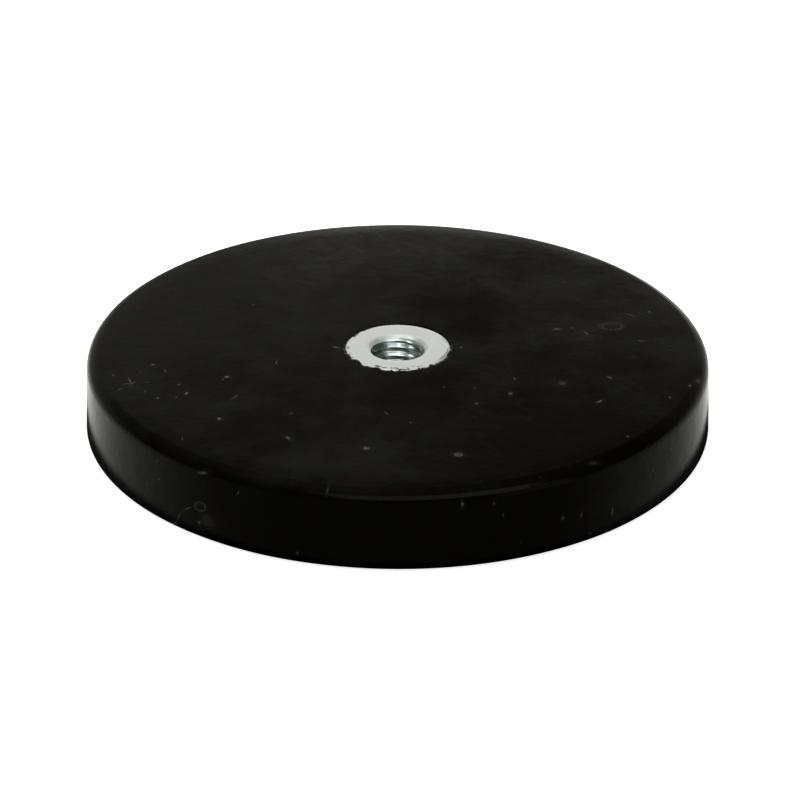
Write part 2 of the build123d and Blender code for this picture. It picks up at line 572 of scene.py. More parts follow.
# Scuffs on the side wall: degrees from the front and height, then as above. The first ones
# make one curled mark.
SIDE_SCUFFS = [
    ((-41.8, 1.4), (1.0, 0.11), 63, 0, 0.7), ((-39.8, 2.7), (1.0, 0.11), 32, 0, 0.8),
    ((-36.8, 3.5), (0.95, 0.6), 20, 1, 0.4), ((-35.2, 2.2), (1.5, 1.2), 0, 0, 0.2),
    ((-37.0, 1.7), (0.35, 0.2), 50, 0, 1.0), ((-42.6, 0.5), (0.35, 0.2), 0, 0, 0.7),
    ((-36.4, 7.3), (0.9, 0.25), 15, 0, 0.6), ((-47.5, 6.4), (0.5, 0.12), 50, 0, 0.4),
    ((-46.9, 4.5), (0.6, 0.12), 60, 0, 0.4), ((-50.5, 3.2), (0.5, 0.12), 55, 0, 0.4),
    ((-28.7, 6.4), (0.4, 0.12), 70, 0, 0.5), ((-12.3, 8.2), (0.5, 0.12), 90, 0, 0.5),
    ((-17.4, 1.1), (0.2, 0.2), 0, 0, 0.6), ((11.3, 7.0), (0.35, 0.16), 90, 0, 0.9),
    ((18.6, 5.3), (0.3, 0.12), 90, 0, 0.4), ((16.9, 6.7), (0.2, 0.2), 0, 0, 0.4),
    ((30.1, 3.5), (0.3, 0.25), 90, 0, 0.4), ((34.0, 3.2), (0.5, 0.2), 80, 0, 0.35),
    ((35.9, 0.8), (0.25, 0.2), 0, 0, 0.6), ((41.0, 2.3), (0.75, 0.12), 88, 0, 0.9),
    ((58.0, 5.5), (0.5, 0.15), -50, 0, 0.6), ((51.9, 4.6), (0.5, 0.12), -55, 0, 0.5),
]
# Soft patches with more bloom (or less) on the top face: place from the thread's axis and
# reach in mm, then how much more.
BLOOM_PATCHES = [
    ((6.5, 9.5), 8, -0.5), ((0, 16), 9, -0.3), ((13, 23), 9, -0.4), ((16, -18), 13, -0.3),
    ((10, -25), 7, -0.15), ((2, -11), 7, -0.4), ((-14, -20), 6, -0.35), ((-11, -12), 9, -0.3),
    ((-20, -5), 7, -0.3), ((12, -5), 8, -0.1), ((-27, 8), 9, 0.2), ((-11, 18), 6, 0.15),
    ((-10, 4), 5, 0.15), ((19, 16), 6, 0.2), ((18, 4), 6, 0.3), ((-12, -27), 6, 0.35),
    ((-4, -26), 9, 0.45), ((28, 10), 7, 0.25), ((-16, -12), 4, 0.3), ((-29, -9), 5, 0.3),
    ((-19, -16), 8, -0.15), ((31, -1), 6, 0.35), ((26, -15), 5, 0.2), ((5, -7), 5, -0.2),
]
# Where dust lies thicker, in the same way.
DUST_PATCHES = [
    ((22, 5), 10, 1.0), ((-26, -7), 8, 1.0), ((-17, -12), 7, 0.6), ((12, -10), 8, 0.5),
    ((29, -9), 7, 0.8), ((-20, -26), 8, 0.6), ((24, -24), 7, 0.4), ((-12, 14), 8, 0.3),
]
BLOOM_SLOPE = (-0.005, 0.0085)  # bloom gained per mm rightwards and backwards
# Layers of bloom: patch size in mm, contrast and share.
BLOOM_LAYERS = [(13.0, 0.7, 0.25), (3.0, 0.45, 0.4), (0.9, 0.4, 0.3)]
# Layers of scattered specks: spacing and size in mm, the share of cells with a speck, strength.
SPECK_LAYERS = [(2.0, 0.17, 0.16, 0.35), (0.9, 0.08, 0.3, 0.25), (4.5, 0.3, 0.14, 0.35)]
TOP_DEPTH, WALL_DEPTH = 0.6, 1.5  # how deep in mm a scuff reaches into the rubber
RUBBER_HUES = (1.0, 0.6, 0.8, 1), (0.65, 1.0, 0.8, 1)  # faint reddish and greenish patches
RUBBER_SHINE = 0.058  # low, as black rubber mirrors little when seen straight on


def with_patches(tree, level, place, patches):
    """A level with soft patches added at their places on the top face."""
    for (x, y), reach, more in patches:
        off = vector_calc(tree, "DISTANCE", place, (x, y, TOP_MM))
        level = calc(tree, "ADD", level,
                     between(tree, off, reach, reach * 0.25, 0.0, more, smooth=True))
    return calc(tree, "ADD", level, 0.0, clamp=True)


def wandered(tree, place, reach):
    """A place that strays sideways in a soft way, so that patches aren't round."""
    wander = clouds(tree, place, 0.15, 2.0)["Color"]
    wander = vector_calc(tree, "SUBTRACT", wander, (0.5, 0.5, 0.5))
    return vector_calc(tree, "MULTIPLY_ADD", wander, (reach, reach, 0), place)


def bloom_level(tree, group, place, parts):
    """How much bloom lies on the rubber: uneven, and less where it was handled."""
    level = 0.5 - sum(share for _, _, share in BLOOM_LAYERS) / 2
    for size, contrast, share in BLOOM_LAYERS:
        patches = use_group(
            tree, group["Mottling"], Place=place, Patch_Size=size, Contrast=contrast)
        level = calc(tree, "MULTIPLY_ADD", patches, share, level)
    level = calc(tree, "MULTIPLY_ADD", parts["X"], BLOOM_SLOPE[0], level)
    level = calc(tree, "MULTIPLY_ADD", parts["Y"], BLOOM_SLOPE[1], level)
    return with_patches(tree, level, wandered(tree, place, 9.0), BLOOM_PATCHES)


def specks(tree, group, place):
    """Scattered dust specks, more of them where dust lies thicker."""
    thick = with_patches(tree, 0.0, wandered(tree, place, 6.0), DUST_PATCHES)
    thick = calc(tree, "ADD", thick, 0.4)
    dust = 0.0
    for spacing, size, share, strength in SPECK_LAYERS:
        layer = use_group(tree, group["Specks"], Place=place, Spacing=spacing,
                          Speck_Size=size, Share=share, Ragged=1.2)
        dust = calc(tree, "MAXIMUM", dust, product(tree, layer, thick, strength))
    return dust


def scuffs(tree, group, place, grit, dust):
    """The dust with the placed scuffs of the top face and the side wall on it."""
    marks = [
        ((x, y, TOP_MM), (0, 0, math.radians(turn)), (*half, TOP_DEPTH), hollow, strength)
        for (x, y), half, turn, hollow, strength in TOP_SCUFFS
    ]
    wall_r = JACKET_HIGH.x / MM
    for (azimuth, height), half, turn, hollow, strength in SIDE_SCUFFS:
        away = math.radians(azimuth)
        centre = (wall_r * math.sin(away), -wall_r * math.cos(away), height)
        half_size = (half[0], WALL_DEPTH, half[1])
        marks.append((centre, (0, math.radians(-turn), away), half_size, hollow, strength))
    for centre, turn, half_size, hollow, strength in marks:
        mark = use_group(
            tree, group["Scuff"], Place=place, Centre=centre, Turn=turn, Half_Size=half_size,
            Grit=grit, Hollow=float(hollow), Strength=strength)
        dust = calc(tree, "MAXIMUM", dust, mark)
    return dust


def film_and_painted_sheen(tree, place, parts, grit, on_top):
    """A dry dusty film on the wall's left and right, but not on the grip face; kept to these
    bright sides, its mottle is also painted sheen that stands in for the mottled reflection
    there.
    """
    cloudy = between(tree, clouds(tree, place, 0.8, 4.0, 0.6)[0], 0.4, 0.6, 0.7, 1.1)
    # Painted sheen: the film lies only on the left and right, the sides that mirror bright light.
    sides = between(tree, calc(tree, "ABSOLUTE", parts["X"]), 16, 26, 0.0, 1.0, smooth=True)
    gritty = between(tree, grit, 0.35, 0.65, 0.5, 1.5)
    on_wall = between(tree, on_top, 0.5, 0.3, 0.0, 0.06)
    above_grip = between(tree, parts["Z"], 0.2, 0.7)
    return product(tree, cloudy, sides, gritty, on_wall, above_grip)


def rubber_material(s):
    """Black moulded rubber with faint bloom, dust and scuffs."""
    material, tree, shader = new_material("Moulded rubber")
    group = effects()
    place = place_in_mm(tree)
    parts = xyz(tree, place)
    grit = clouds(tree, place, 7.0, 4.0, 0.75)[0]
    bloom = bloom_level(tree, group, place, parts)
    on_top = between(tree, parts["Z"], TOP_MM - 1.2, TOP_MM - 0.1, 0.3, 1.0)
    dust = scuffs(tree, group, place, grit, specks(tree, group, place))
    # The wall's film, partly dust and partly painted sheen.
    dust = calc(tree, "MAXIMUM", dust, film_and_painted_sheen(tree, place, parts, grit, on_top))

    hue = use_group(tree, group["Mottling"], Place=place, Patch_Size=2.2, Contrast=0.6)
    tone = mix(tree, product(tree, bloom, on_top), tuple(s.rubber), tuple(s.bloom))
    tone = mix(tree, 1.0, tone, mix(tree, hue, *RUBBER_HUES), blend="MULTIPLY")
    feed(tree, shader.inputs["Base Color"], mix(tree, dust, tone, tuple(s.dust)))
    rough = product(
        tree, between(tree, bloom, 0.0, 1.0, s.roughness, s.roughness + 0.17),
        between(tree, on_top, 0.3, 1.0, 0.65, 1.0))
    rough = calc(tree, "ADD", rough, product(tree, dust, 0.4), clamp=True)
    feed(tree, shader.inputs["Roughness"], rough)
    shader.inputs["Specular IOR Level"].default_value = RUBBER_SHINE
    shader.inputs["Specular Tint"].default_value = (1.0, 0.99, 0.88, 1.0)

    grain = use_group(tree, group["Grain"], Place=place, Grain_Size=0.25, Pits=0.25)
    dents = clouds(tree, place, 0.8, 2.0)[0]
    height = calc(tree, "ADD", grain, product(tree, dents, 6.0))
    add_bump(tree, shader, height, 4 * TINY)
    return material


def jacket_profile(s):
    """The outer skin's section from the grip face round the wall to the top face.

    Returns the points of the edge and wall, and the radii where the flat faces start.
    """
    lean = s.draft
    foot_r = JACKET_HIGH.x - s.grip_edge
    reach = foot_r * math.cos(lean) + s.grip_edge * (1 + math.sin(lean))
    rim_z = TOP_Z - s.top_edge
    rim_r = (reach - s.top_edge - rim_z * math.sin(lean)) / math.cos(lean)
    foot = arc((foot_r, s.grip_edge), s.grip_edge, -math.pi / 2, lean, FOOT_STEPS)
    rim = arc((rim_r, rim_z), s.top_edge, lean, math.pi / 2, RIM_STEPS)
    return foot + straight(foot[-1], rim[0], lean, WALL_STEPS) + rim, foot_r, rim_r


def soft_noise(place, size):
    """Smooth noise from 0 to 1 with features of about one size."""
    return min(1, max(0, 0.5 + 0.6 * noise.noise(place / size)))


def magnet_gap(place):
    """How far between the magnets a place on the grip face lies, from 0 to 1."""
    nearest = min(
        math.hypot(place.x - (low.x + high.x) / 2, place.y - (low.y + high.y) / 2)
        - (high.x - low.x) / 2
        for low, high in MAGNET_BOXES
    )
    share = min(1, max(0, nearest / (1.5 * MM) + 0.4))
    return share * share * (3 - 2 * share)


def rolled(s, point, rim_r):
    """A point of the section, lowered where the top face rolls off into its edge."""
    radius, height, normal = point
    start = min(1, max(0, (radius - rim_r) / s.roll_width + 1))
    share = min(1, max(0, (height - TOP_Z + s.top_edge) / s.top_edge))
    return radius, height - s.roll_off * start * start * share, normal


def skin_ring(bm, point, steps, waviness):
    """One ring of the moulded skin, sunk a little in places along its normal."""
    radius, height, normal = point
    ring = []
    for turn in around(steps):
        place = at(radius, turn, height)
        sunk = waviness * soft_noise(place, WAVE_SIZE)
        ring.append(bm.verts.new(
            at(radius - sunk * math.cos(normal), turn, height - sunk * math.sin(normal))))
    return ring


def grip_ring(bm, radius, shrinkage):
    """One ring of the grip face, which sinks a little between the magnets."""
    ring = []
    for turn in around(ROUND_STEPS):
        place = at(radius, turn, 0)
        place.z = shrinkage * magnet_gap(place)
        ring.append(bm.verts.new(place))
    return ring


# Where the rubber's edge bites into the head: turn from the right and half width in degrees,
# then how far in, in mm.
FLASH_BITES = [
    (12, 12, 0.12), (41, 10, 0.1), (127, 11, 0.42), (203, 9, 0.15), (218, 12, 0.36),
    (246, 11, 0.3), (263, 4, 0.16), (278, 5, 0.14), (294, 3, 0.2), (309, 4, 0.3), (345, 11, 0.1),
]
LEAST_CREEP = 0.05 * MM  # how far the rubber creeps over the bevel between the bites
RAGGED_REACH = 0.3 * MM  # how far its edge strays from there


def flash_radius(s, turn):
    """Where the ragged rubber ends over the head's bevel."""
    creep = LEAST_CREEP
    for angle, half_width, depth in FLASH_BITES:
        off = abs((math.degrees(turn) - angle + 180) % 360 - 180)
        if off < half_width:
            share = 0.5 + 0.5 * math.cos(math.pi * off / half_width)
            creep = max(creep, depth * MM * share)
    ragged = soft_noise(at(9, turn, 1), 0.8) + soft_noise(at(9, turn, 7), 0.3) - 1
    creep += RAGGED_REACH * ragged
    return HEAD_R - min(s.flash, max(10 * TINY, creep))


def cad_cavity(bm):
    """Loads the jacket's solid into the mesh and keeps only the faces round the metal."""
    bm.from_mesh(frame["nodes"]["rubber_jacket"].data)
    bmesh.ops.remove_doubles(bm, verts=bm.verts, dist=TINY)
    skin_r = PLATE_HIGH.x + WALL_GAP
    outside = [
        face for face in bm.faces
        if all(v.co.z > TOP_Z - TINY for v in face.verts)
        or all(v.co.z < JACKET_LOW.z + TINY for v in face.verts)
        or all(math.hypot(v.co.x, v.co.y) > skin_r for v in face.verts)
    ]
    bmesh.ops.delete(bm, geom=outside, context="FACES")


class POTMAGNET_OT_rubber_jacket(bpy.types.Operator):
    """Models the moulded rubber jacket round the plate, the magnets and the bush"""

    bl_idname = "potmagnet.rubber_jacket"
    bl_label = "Rubber Jacket"

    def execute(self, context):
        s = context.scene.potmagnet_jacket
        bm = bmesh.new()
        cad_cavity(bm)
        cavity = open_ring(bm, TOP_Z)
        for vertex in cavity:
            vertex.co.z = PLATE_HIGH.z + WALL_GAP
        edge, foot_r, rim_r = jacket_profile(s)

        grip = [
            grip_ring(bm, foot_r * step / GRIP_STEPS, s.shrinkage)
            for step in range(1, GRIP_STEPS)
        ]
        fan(bm, grip[0], (0, 0, s.shrinkage * magnet_gap(Vector((0, 0, 0)))))
        wall = [
            skin_ring(bm, rolled(s, point, rim_r), ROUND_STEPS, s.waviness) for point in edge
        ]
        lip_r = HEAD_R + LIP_WIDTH
        top = [
            skin_ring(bm, rolled(s, point, rim_r), ROUND_STEPS, s.waviness)
            for point in straight((rim_r, TOP_Z), (lip_r, TOP_Z), math.pi / 2, TOP_STEPS)
        ]
        join_all(bm, grip + wall + top)
        self.add_lip(bm, s, top[-1], lip_r, cavity)
        add_piece("Rubber_jacket", bm, "rubber_jacket", rubber_material(s),
                  math.radians(50))
        return {"FINISHED"}

    def add_lip(self, bm, s, top_ring, lip_r, cavity):
        """The top face's ragged end over the head, joined to the seat of the bush."""
        bevel = bpy.context.scene.potmagnet_bush.bevel
        rings = [skin_ring(bm, (lip_r, TOP_Z, math.pi / 2), FLASH_STEPS, s.waviness)]
        zip_rings(bm, top_ring, rings[0])
        turns = around(FLASH_STEPS)
        ends = [flash_radius(s, turn) for turn in turns]
        for share in (0.25, 0.5, 0.75, 0.93):
            ring = []
            for turn, end, vertex in zip(turns, ends, rings[0]):
                radius = lip_r + (end - lip_r) * share
                ring.append(bm.verts.new(at(radius, turn, vertex.co.z)))
            rings.append(ring)
        round_over = []
        under = []
        for turn, end, vertex in zip(turns, ends, rings[0]):
            floor_z = TOP_Z - bevel + (HEAD_R - end) + 4 * TINY
            round_over.append(bm.verts.new(at(end, turn, (floor_z + vertex.co.z) / 2)))
            under.append(bm.verts.new(at(end, turn, min(floor_z, vertex.co.z - 10 * TINY))))
        rings += [round_over, under]
        rings.append(flat_ring(bm, HEAD_R, TOP_Z - bevel, FLASH_STEPS))
        rings.append(flat_ring(bm, HEAD_R, PLATE_HIGH.z + 2 * WALL_GAP, FLASH_STEPS))
        join_all(bm, rings)
        zip_rings(bm, rings[-1], cavity)


# --- Threaded bush ---------------------------------------------------------------------

# Streaks of rubber left on the head's rim: turn from the right and half length in degrees,
# radius and half width in mm, and how dark.
RESIDUE = [
    (17, 10, 5.25, 0.12, 0.5), (60, 9, 5.33, 0.06, 0.4), (133, 9, 5.35, 0.14, 1.0),
    (148, 9, 5.3, 0.17, 1.0), (182, 5, 5.22, 0.13, 0.9), (203, 8, 5.4, 0.08, 0.7),
    (249, 9, 5.1, 0.2, 1.0), (266, 6, 5.05, 0.2, 1.0), (276, 10, 5.32, 0.14, 1.0),
    (284, 9, 4.95, 0.08, 0.7), (296, 5, 5.2, 0.12, 0.8), (330, 8, 5.15, 0.07, 0.6),
    (341, 18, 5.3, 0.09, 1.0),
]
FLANK_ANGLE = math.radians(32)  # between a flank and the level
ROOT_FLAT, FLANK_SOFT = 0.1, 0.02  # the root's flat and the flank's rounding, of the pitch
# How deep in mm the rings that round the mouth's edge lie below the face.
MOUTH_DEPTHS = (0.15, 0.12, 0.095, 0.075, 0.06, 0.047, 0.037, 0.028, 0.02)
RIM_SOFT = 0.04 * MM  # rounding at both ends of the head's bevel
ZINC_STAINS = (0.98, 0.93, 0.93, 1), (0.93, 0.99, 0.95, 1)  # reddish and greenish
# Plating in the bore: between the roots and at them, then left, right and in the first groove.
# The paler tone at the roots is painted light on their shade, and the darker left, right and
# first groove are painted shade.
BORE_ZINC, PAINTED_LIGHT_ROOT_ZINC = (0.54, 0.6, 0.585, 1), (0.95, 1.0, 0.97, 1)
SHADED_LEFT_ZINC, SHADED_RIGHT_ZINC = (0.33, 0.5, 0.43, 1), (0.6, 0.62, 0.52, 1)
SHADED_GROOVE_ZINC = (0.2, 0.29, 0.27, 1)
RIPPLE = 0.09  # mm between the turning marks
FLANK_TILT = 430.0  # how strongly the bump tilts the flanks that face up


def rubber_residue(tree, place, parts, radius):
    """Where rubber is left on the head's rim: bites of its edge and broken streaks."""
    turn = calc(tree, "DEGREES", calc(tree, "ARCTAN2", parts["Y"], parts["X"]))
    grit = clouds(tree, place, 2.6, 4.0, 0.7)[0]
    wander = product(tree, calc(tree, "SUBTRACT", grit, 0.5), 0.9)
    strayed = calc(tree, "ADD", radius, wander)

    def away_from(angle):
        off = calc(tree, "WRAP", calc(tree, "SUBTRACT", turn, angle), -180.0, 180.0)
        return calc(tree, "ABSOLUTE", off)

    dip = 0.0
    for angle, half_width, depth in FLASH_BITES:
        bite = between(tree, away_from(angle), half_width, 0.0, 0.0, depth, smooth=True)
        dip = calc(tree, "MAXIMUM", dip, bite)
    edge = calc(tree, "SUBTRACT", HEAD_R / MM, dip)
    total = between(tree, calc(tree, "SUBTRACT", strayed, edge), -0.02, 0.03)
    broken = between(tree, grit, 0.38, 0.48)
    for angle, half_length, streak_r, half_width, dark in RESIDUE:
        along = between(tree, away_from(angle), half_length, half_length * 0.6, 0.0, dark)
        across = between(
            tree, calc(tree, "ABSOLUTE", calc(tree, "SUBTRACT", strayed, streak_r)),
            half_width, half_width * 0.5)
        total = calc(tree, "MAXIMUM", total, product(tree, along, across, broken))
    return product(tree, total, calc(tree, "GREATER_THAN", parts["Z"], TOP_MM - 0.2))


def thread_climb(tree, s, parts):
    """How far above the middle of its groove a place in the bore lies, in shares of the pitch."""
    turned = calc(tree, "DIVIDE", calc(tree, "ARCTAN2", parts["Y"], parts["X"]), math.tau)
    groove = BUSH_LOW.z / s.pitch + 0.5 - s.start / math.tau % 1
    climb = calc(tree, "SUBTRACT", calc(tree, "DIVIDE", parts["Z"], s.pitch / MM), groove)
    return calc(tree, "WRAP", calc(tree, "SUBTRACT", climb, turned), -0.5, 0.5)


def bore_colour_with_painted_light(tree, parts, climb):
    """The plating in the bore, with painted light and shade: paler at the shaded roots of the
    thread, darker at its left and right sides and in its first groove.
    """
    # Painted light: the roots and the flanks hidden under the crests get a paler tone that lifts
    # their shade.
    root = between(
        tree, calc(tree, "ABSOLUTE", calc(tree, "SUBTRACT", climb, 0.15)), 0.24, 0.18)
    plated = mix(tree, root, BORE_ZINC, PAINTED_LIGHT_ROOT_ZINC)
    # Painted shade: the bore's left and right sides are darker.
    plated = mix(tree, between(tree, parts["X"], -1.2, -2.4), plated, SHADED_LEFT_ZINC)
    plated = mix(tree, between(tree, parts["X"], 1.6, 2.6), plated, SHADED_RIGHT_ZINC)
    # Painted shade: the first groove below the mouth is darkened.
    groove = between(tree, calc(tree, "ABSOLUTE", calc(tree, "ADD", climb, 0.1)), 0.28, 0.14)
    first = between(tree, parts["Z"], TOP_MM - 1.4, TOP_MM - 1.15, 0.0, 0.6)
    return mix(tree, product(tree, groove, first), plated, SHADED_GROOVE_ZINC)


def zinc_material(s):
    """Turned steel with bright zinc, and rubber left on the edge of the head."""
    material, tree, shader = new_material("Zinc-plated bush")
    group = effects()
    place = place_in_mm(tree)
    parts = xyz(tree, place)
    radius = vector_calc(tree, "LENGTH", vector_calc(tree, "MULTIPLY", place, (1, 1, 0)))
    inside = calc(tree, "LESS_THAN", radius, s.mouth_d / 2 / MM)
    bore = product(tree, inside, between(tree, parts["Z"], TOP_MM - 0.35, TOP_MM - 0.6))
    sunk = product(tree, inside, between(tree, parts["Z"], TOP_MM - 0.03, TOP_MM - 0.2))
    climb = thread_climb(tree, s, parts)

    stain = use_group(tree, group["Mottling"], Place=place, Patch_Size=1.6, Contrast=0.35)
    zinc = mix(tree, 1.0, tuple(s.zinc), mix(tree, stain, *ZINC_STAINS), blend="MULTIPLY")
    tone = mix(tree, bore, zinc, bore_colour_with_painted_light(tree, parts, climb))
    residue = rubber_residue(tree, place, parts, radius)
    feed(tree, shader.inputs["Base Color"], mix(tree, residue, tone, tuple(s.residue)))
    shiny = calc(tree, "MAXIMUM", between(tree, sunk, 0.0, 1.0, 0.45, 0.6), bore)
    bare = calc(tree, "SUBTRACT", 1.0, residue)
    feed(tree, shader.inputs["Metallic"], product(tree, shiny, bare))
    rough = between(tree, stain, 0.0, 1.0, 0.42, 0.5)
    for mask, rougher in ((bore, -0.2), (sunk, -0.1), (residue, 0.2)):
        rough = calc(tree, "MULTIPLY_ADD", mask, rougher, rough)
    feed(tree, shader.inputs["Roughness"], rough)

    ripple = calc(tree, "SINE", product(tree, radius, math.tau / RIPPLE))
    grain = use_group(tree, group["Grain"], Place=place, Grain_Size=0.08, Pits=0.2)
    height = calc(tree, "MULTIPLY_ADD", ripple, 0.25, grain)
    along = vector_calc(tree, "MULTIPLY", place, (0.4, 0.4, 9.0))
    cuts = clouds(tree, along, 1.6, 3.0, 0.6)[0]
    height = calc(tree, "ADD", height, product(tree, cuts, bore, 9.0))
    flank = calc(tree, "MAXIMUM", calc(tree, "MINIMUM", climb, -0.05), -0.36)
    height = calc(tree, "ADD", height, product(tree, flank, bore, FLANK_TILT))
    add_bump(tree, shader, height, 1.2 * TINY)
    return material


def thread_section(s):
    """(share of the pitch, radius) along one pitch, from the middle of a crest to the next."""
    deep = s.root_d / 2 - BORE_R
    flank = deep * math.tan(FLANK_ANGLE) / s.pitch
    crest = 0.5 - ROOT_FLAT / 2 - flank
    soft = FLANK_SOFT
    shares = [
        0, crest / 2, crest - soft, crest + soft, crest + flank * 0.3, crest + flank * 0.7,
        crest + flank - soft, crest + flank + soft,
    ]
    shares += [0.5] + [1 - share for share in reversed(shares[1:])]
    section = []
    for share in shares:
        climb = (min(share, 1 - share) - crest) / flank
        section.append((share, BORE_R + deep * min(1, max(0, climb))))
    return section


def mouth_radius(s, depth):
    """Radius of the 45 degree countersink at a depth below the face, with a soft upper edge."""
    return s.mouth_d / 2 - depth + s.mouth_edge ** 2 / (4 * depth)


def add_thread(bm, s):
    """The thread's surface as one strip up a right-hand helix, cut level at both ends."""
    section = thread_section(s)
    per_turn = len(section)
    turns = math.ceil((BUSH_HIGH.z - BUSH_LOW.z) / s.pitch) + 3
    bottom = BUSH_LOW.z - s.pitch * (1 + (s.start / math.tau) % 1)
    columns = []
    for step in range(BUSH_STEPS):
        turn = math.tau * step / BUSH_STEPS
        column = []
        for row in range(turns * per_turn):
            share, radius = section[row % per_turn]
            height = bottom + s.pitch * (row // per_turn + share + step / BUSH_STEPS)
            depth = max(BUSH_HIGH.z - height, 0.1 * MM)
            column.append(bm.verts.new(at(max(radius, mouth_radius(s, depth)), turn, height)))
        columns.append(column)
    for step, column in enumerate(columns):
        ahead = columns[step + 1] if step + 1 < BUSH_STEPS else columns[0][per_turn:]
        for row in range(min(len(column), len(ahead)) - 1):
            bm.faces.new((column[row], ahead[row], ahead[row + 1], column[row + 1]))
    for height, cut in ((BUSH_HIGH.z - MOUTH_CUT, "clear_outer"), (BUSH_LOW.z, "clear_inner")):
        bmesh.ops.bisect_plane(
            bm, geom=[*bm.verts, *bm.edges, *bm.faces], dist=1e-8,
            plane_co=(0, 0, height), plane_no=(0, 0, 1), **{cut: True})


def bush_outside(s):
    """(radius, height) from the countersink over the head's face and down to the end."""
    face_r = HEAD_R - s.bevel
    soft = RIM_SOFT
    collar_r = s.collar_d / 2
    neck_r = s.neck_d / 2
    points = [(mouth_radius(s, depth * MM), TOP_Z - depth * MM) for depth in MOUTH_DEPTHS]
    points += [(s.mouth_d / 2 + (face_r - s.mouth_d / 2) * share, TOP_Z)
               for share in (0.28, 0.4, 0.6, 0.8)]
    points += [
        (face_r - soft, TOP_Z), (face_r, TOP_Z - soft * 0.3), (face_r + soft, TOP_Z - soft),
        (HEAD_R - soft * 0.5, TOP_Z - s.bevel + soft * 0.5), (HEAD_R, TOP_Z - s.bevel - soft),
        (HEAD_R, PLATE_HIGH.z), (neck_r, PLATE_HIGH.z), (neck_r, PLATE_LOW.z),
        (collar_r, PLATE_LOW.z), (collar_r, BUSH_LOW.z),
    ]
    return points


class POTMAGNET_OT_threaded_bush(bpy.types.Operator):
    """Models the turned bush with its head, neck, clinched collar and real thread"""

    bl_idname = "potmagnet.threaded_bush"
    bl_label = "Threaded Bush"

    def execute(self, context):
        s = context.scene.potmagnet_bush
        bm = bmesh.new()
        add_thread(bm, s)
        mouth = open_ring(bm, BUSH_HIGH.z - MOUTH_CUT)
        end = open_ring(bm, BUSH_LOW.z)
        rings = [flat_ring(bm, radius, height, BUSH_STEPS) for radius, height in bush_outside(s)]
        join_all(bm, rings)
        zip_rings(bm, mouth, rings[0])
        zip_rings(bm, end, rings[-1])
        add_piece("Threaded_bush", bm, "threaded_bush", zinc_material(s),
                  math.radians(30))
        return {"FINISHED"}


# --- Inside ----------------------------------------------------------------------------


def plated_material(name, colour, patch_size, grain_size, roughness):
    """Plated metal with faint stain and a fine grain."""
    material, tree, shader = new_material(name)
    group = effects()
    place = place_in_mm(tree)
    stain = use_group(tree, group["Mottling"], Place=place, Patch_Size=patch_size, Contrast=0.5)
    dull = tuple(channel * 0.8 for channel in colour[:3]) + (1,)
    feed(tree, shader.inputs["Base Color"], mix(tree, stain, tuple(colour), dull))
    shader.inputs["Metallic"].default_value = 1.0
    feed(tree, shader.inputs["Roughness"],
         between(tree, stain, 0.0, 1.0, roughness, roughness + 0.15))
    grain = use_group(tree, group["Grain"], Place=place, Grain_Size=grain_size, Pits=0.3)
    add_bump(tree, shader, grain, 2 * TINY)
    return material


class POTMAGNET_OT_backing_plate(bpy.types.Operator):
    """Gives the steel backing plate its dull zinc"""

    bl_idname = "potmagnet.backing_plate"
    bl_label = "Backing Plate Finish"

    def execute(self, context):
        s = context.scene.potmagnet_inside
        finish_node("backing_plate", plated_material("Dull zinc", s.plate, 4.0, 0.2, 0.42))
        return {"FINISHED"}


class POTMAGNET_OT_disc_magnets(bpy.types.Operator):
    """Gives the disc magnets their nickel"""

    bl_idname = "potmagnet.disc_magnets"
    bl_label = "Disc Magnets Finish"

    def execute(self, context):
        s = context.scene.potmagnet_inside
        nickel = plated_material("Bright nickel", s.nickel, 2.5, 0.1, 0.16)
        for name in MAGNETS:
            finish_node(name, nickel)
        return {"FINISHED"}


# --- Stage -----------------------------------------------------------------------------

# How bright the ground round the studio is, from the front (0) to the back (1), as a share
# of the brightest.
GROUND_LIGHT = [
    (0.0, 0.2), (0.12, 0.2), (0.41, 0.24), (0.59, 0.34), (0.75, 0.46), (0.88, 0.64),
    (0.97, 0.87), (1.0, 1.0),
]
GROUND_TINT = (0.99, 1.0, 0.93)
GROUND_LEFT, GROUND_RIGHT = 1.68, 1.185  # the brightest ground at either side
# How bright it is above the horizon, from level (0) to overhead (1): at the front and sides,
# and towards the pale cove behind.
SKY_LIGHT = [(0.0, 0.05), (0.3, 0.08), (0.7, 0.1), (0.96, 0.22), (1.0, 0.25)]
COVE_LIGHT = [
    (0.0, 0.35), (0.4, 0.16), (0.48, 0.16), (0.54, 0.13), (0.6, 0.05), (0.9, 0.1), (1.0, 0.25),
]
COVE_TINT = (1.0, 0.95, 0.82)
# The lights: place and aim in metres, width and height, power in watts, and whether they
# show in gloss.
LIGHTS = {
    "Overhead softbox": ((-0.15, 0.25, 0.9), (0, 0, 0), (0.9, 0.9), 9.6, False),
    "Front window": ((0.104, -0.403, 0.432), (0, 0, 0), (0.7, 0.35), 1.1, True),
    "Right panel": ((0.503, -0.452, 0.181), (0, 0, 0), (0.35, 0.5), 0.28, True),
}
# Lights that only sparkle in the bush.
BORE_LIGHTS = {
    "Bore strip": ((0.0, -0.22, 0.55), (0, 0, 0), (0.04, 0.6), 0.25, True),
    "Bore fill": ((-0.01, -0.2, 0.5), (-0.01, -0.2, 0), (1.0, 0.6), 0.4, True),
    "Bore patch": ((-0.3, -0.1, 0.5), (0, 0, 0), (0.16, 0.2), 0.25, True),
}
CARD_TALL, CARD_HALF = 76 * MM, 260 * MM  # height and half width of the bounce card
CARD_LEFT_Y, CARD_RIGHT_Y = 50 * MM, 100 * MM  # how far behind its ends stand
SHADE_IN, SHADE_OUT = 0.5 * MM, 2.3 * MM  # how far in and out of the foot its shade reaches
SHADE_FULL = 1.0 * MM  # and how far out it is still dark
SENSOR_WIDTH = 36  # mm


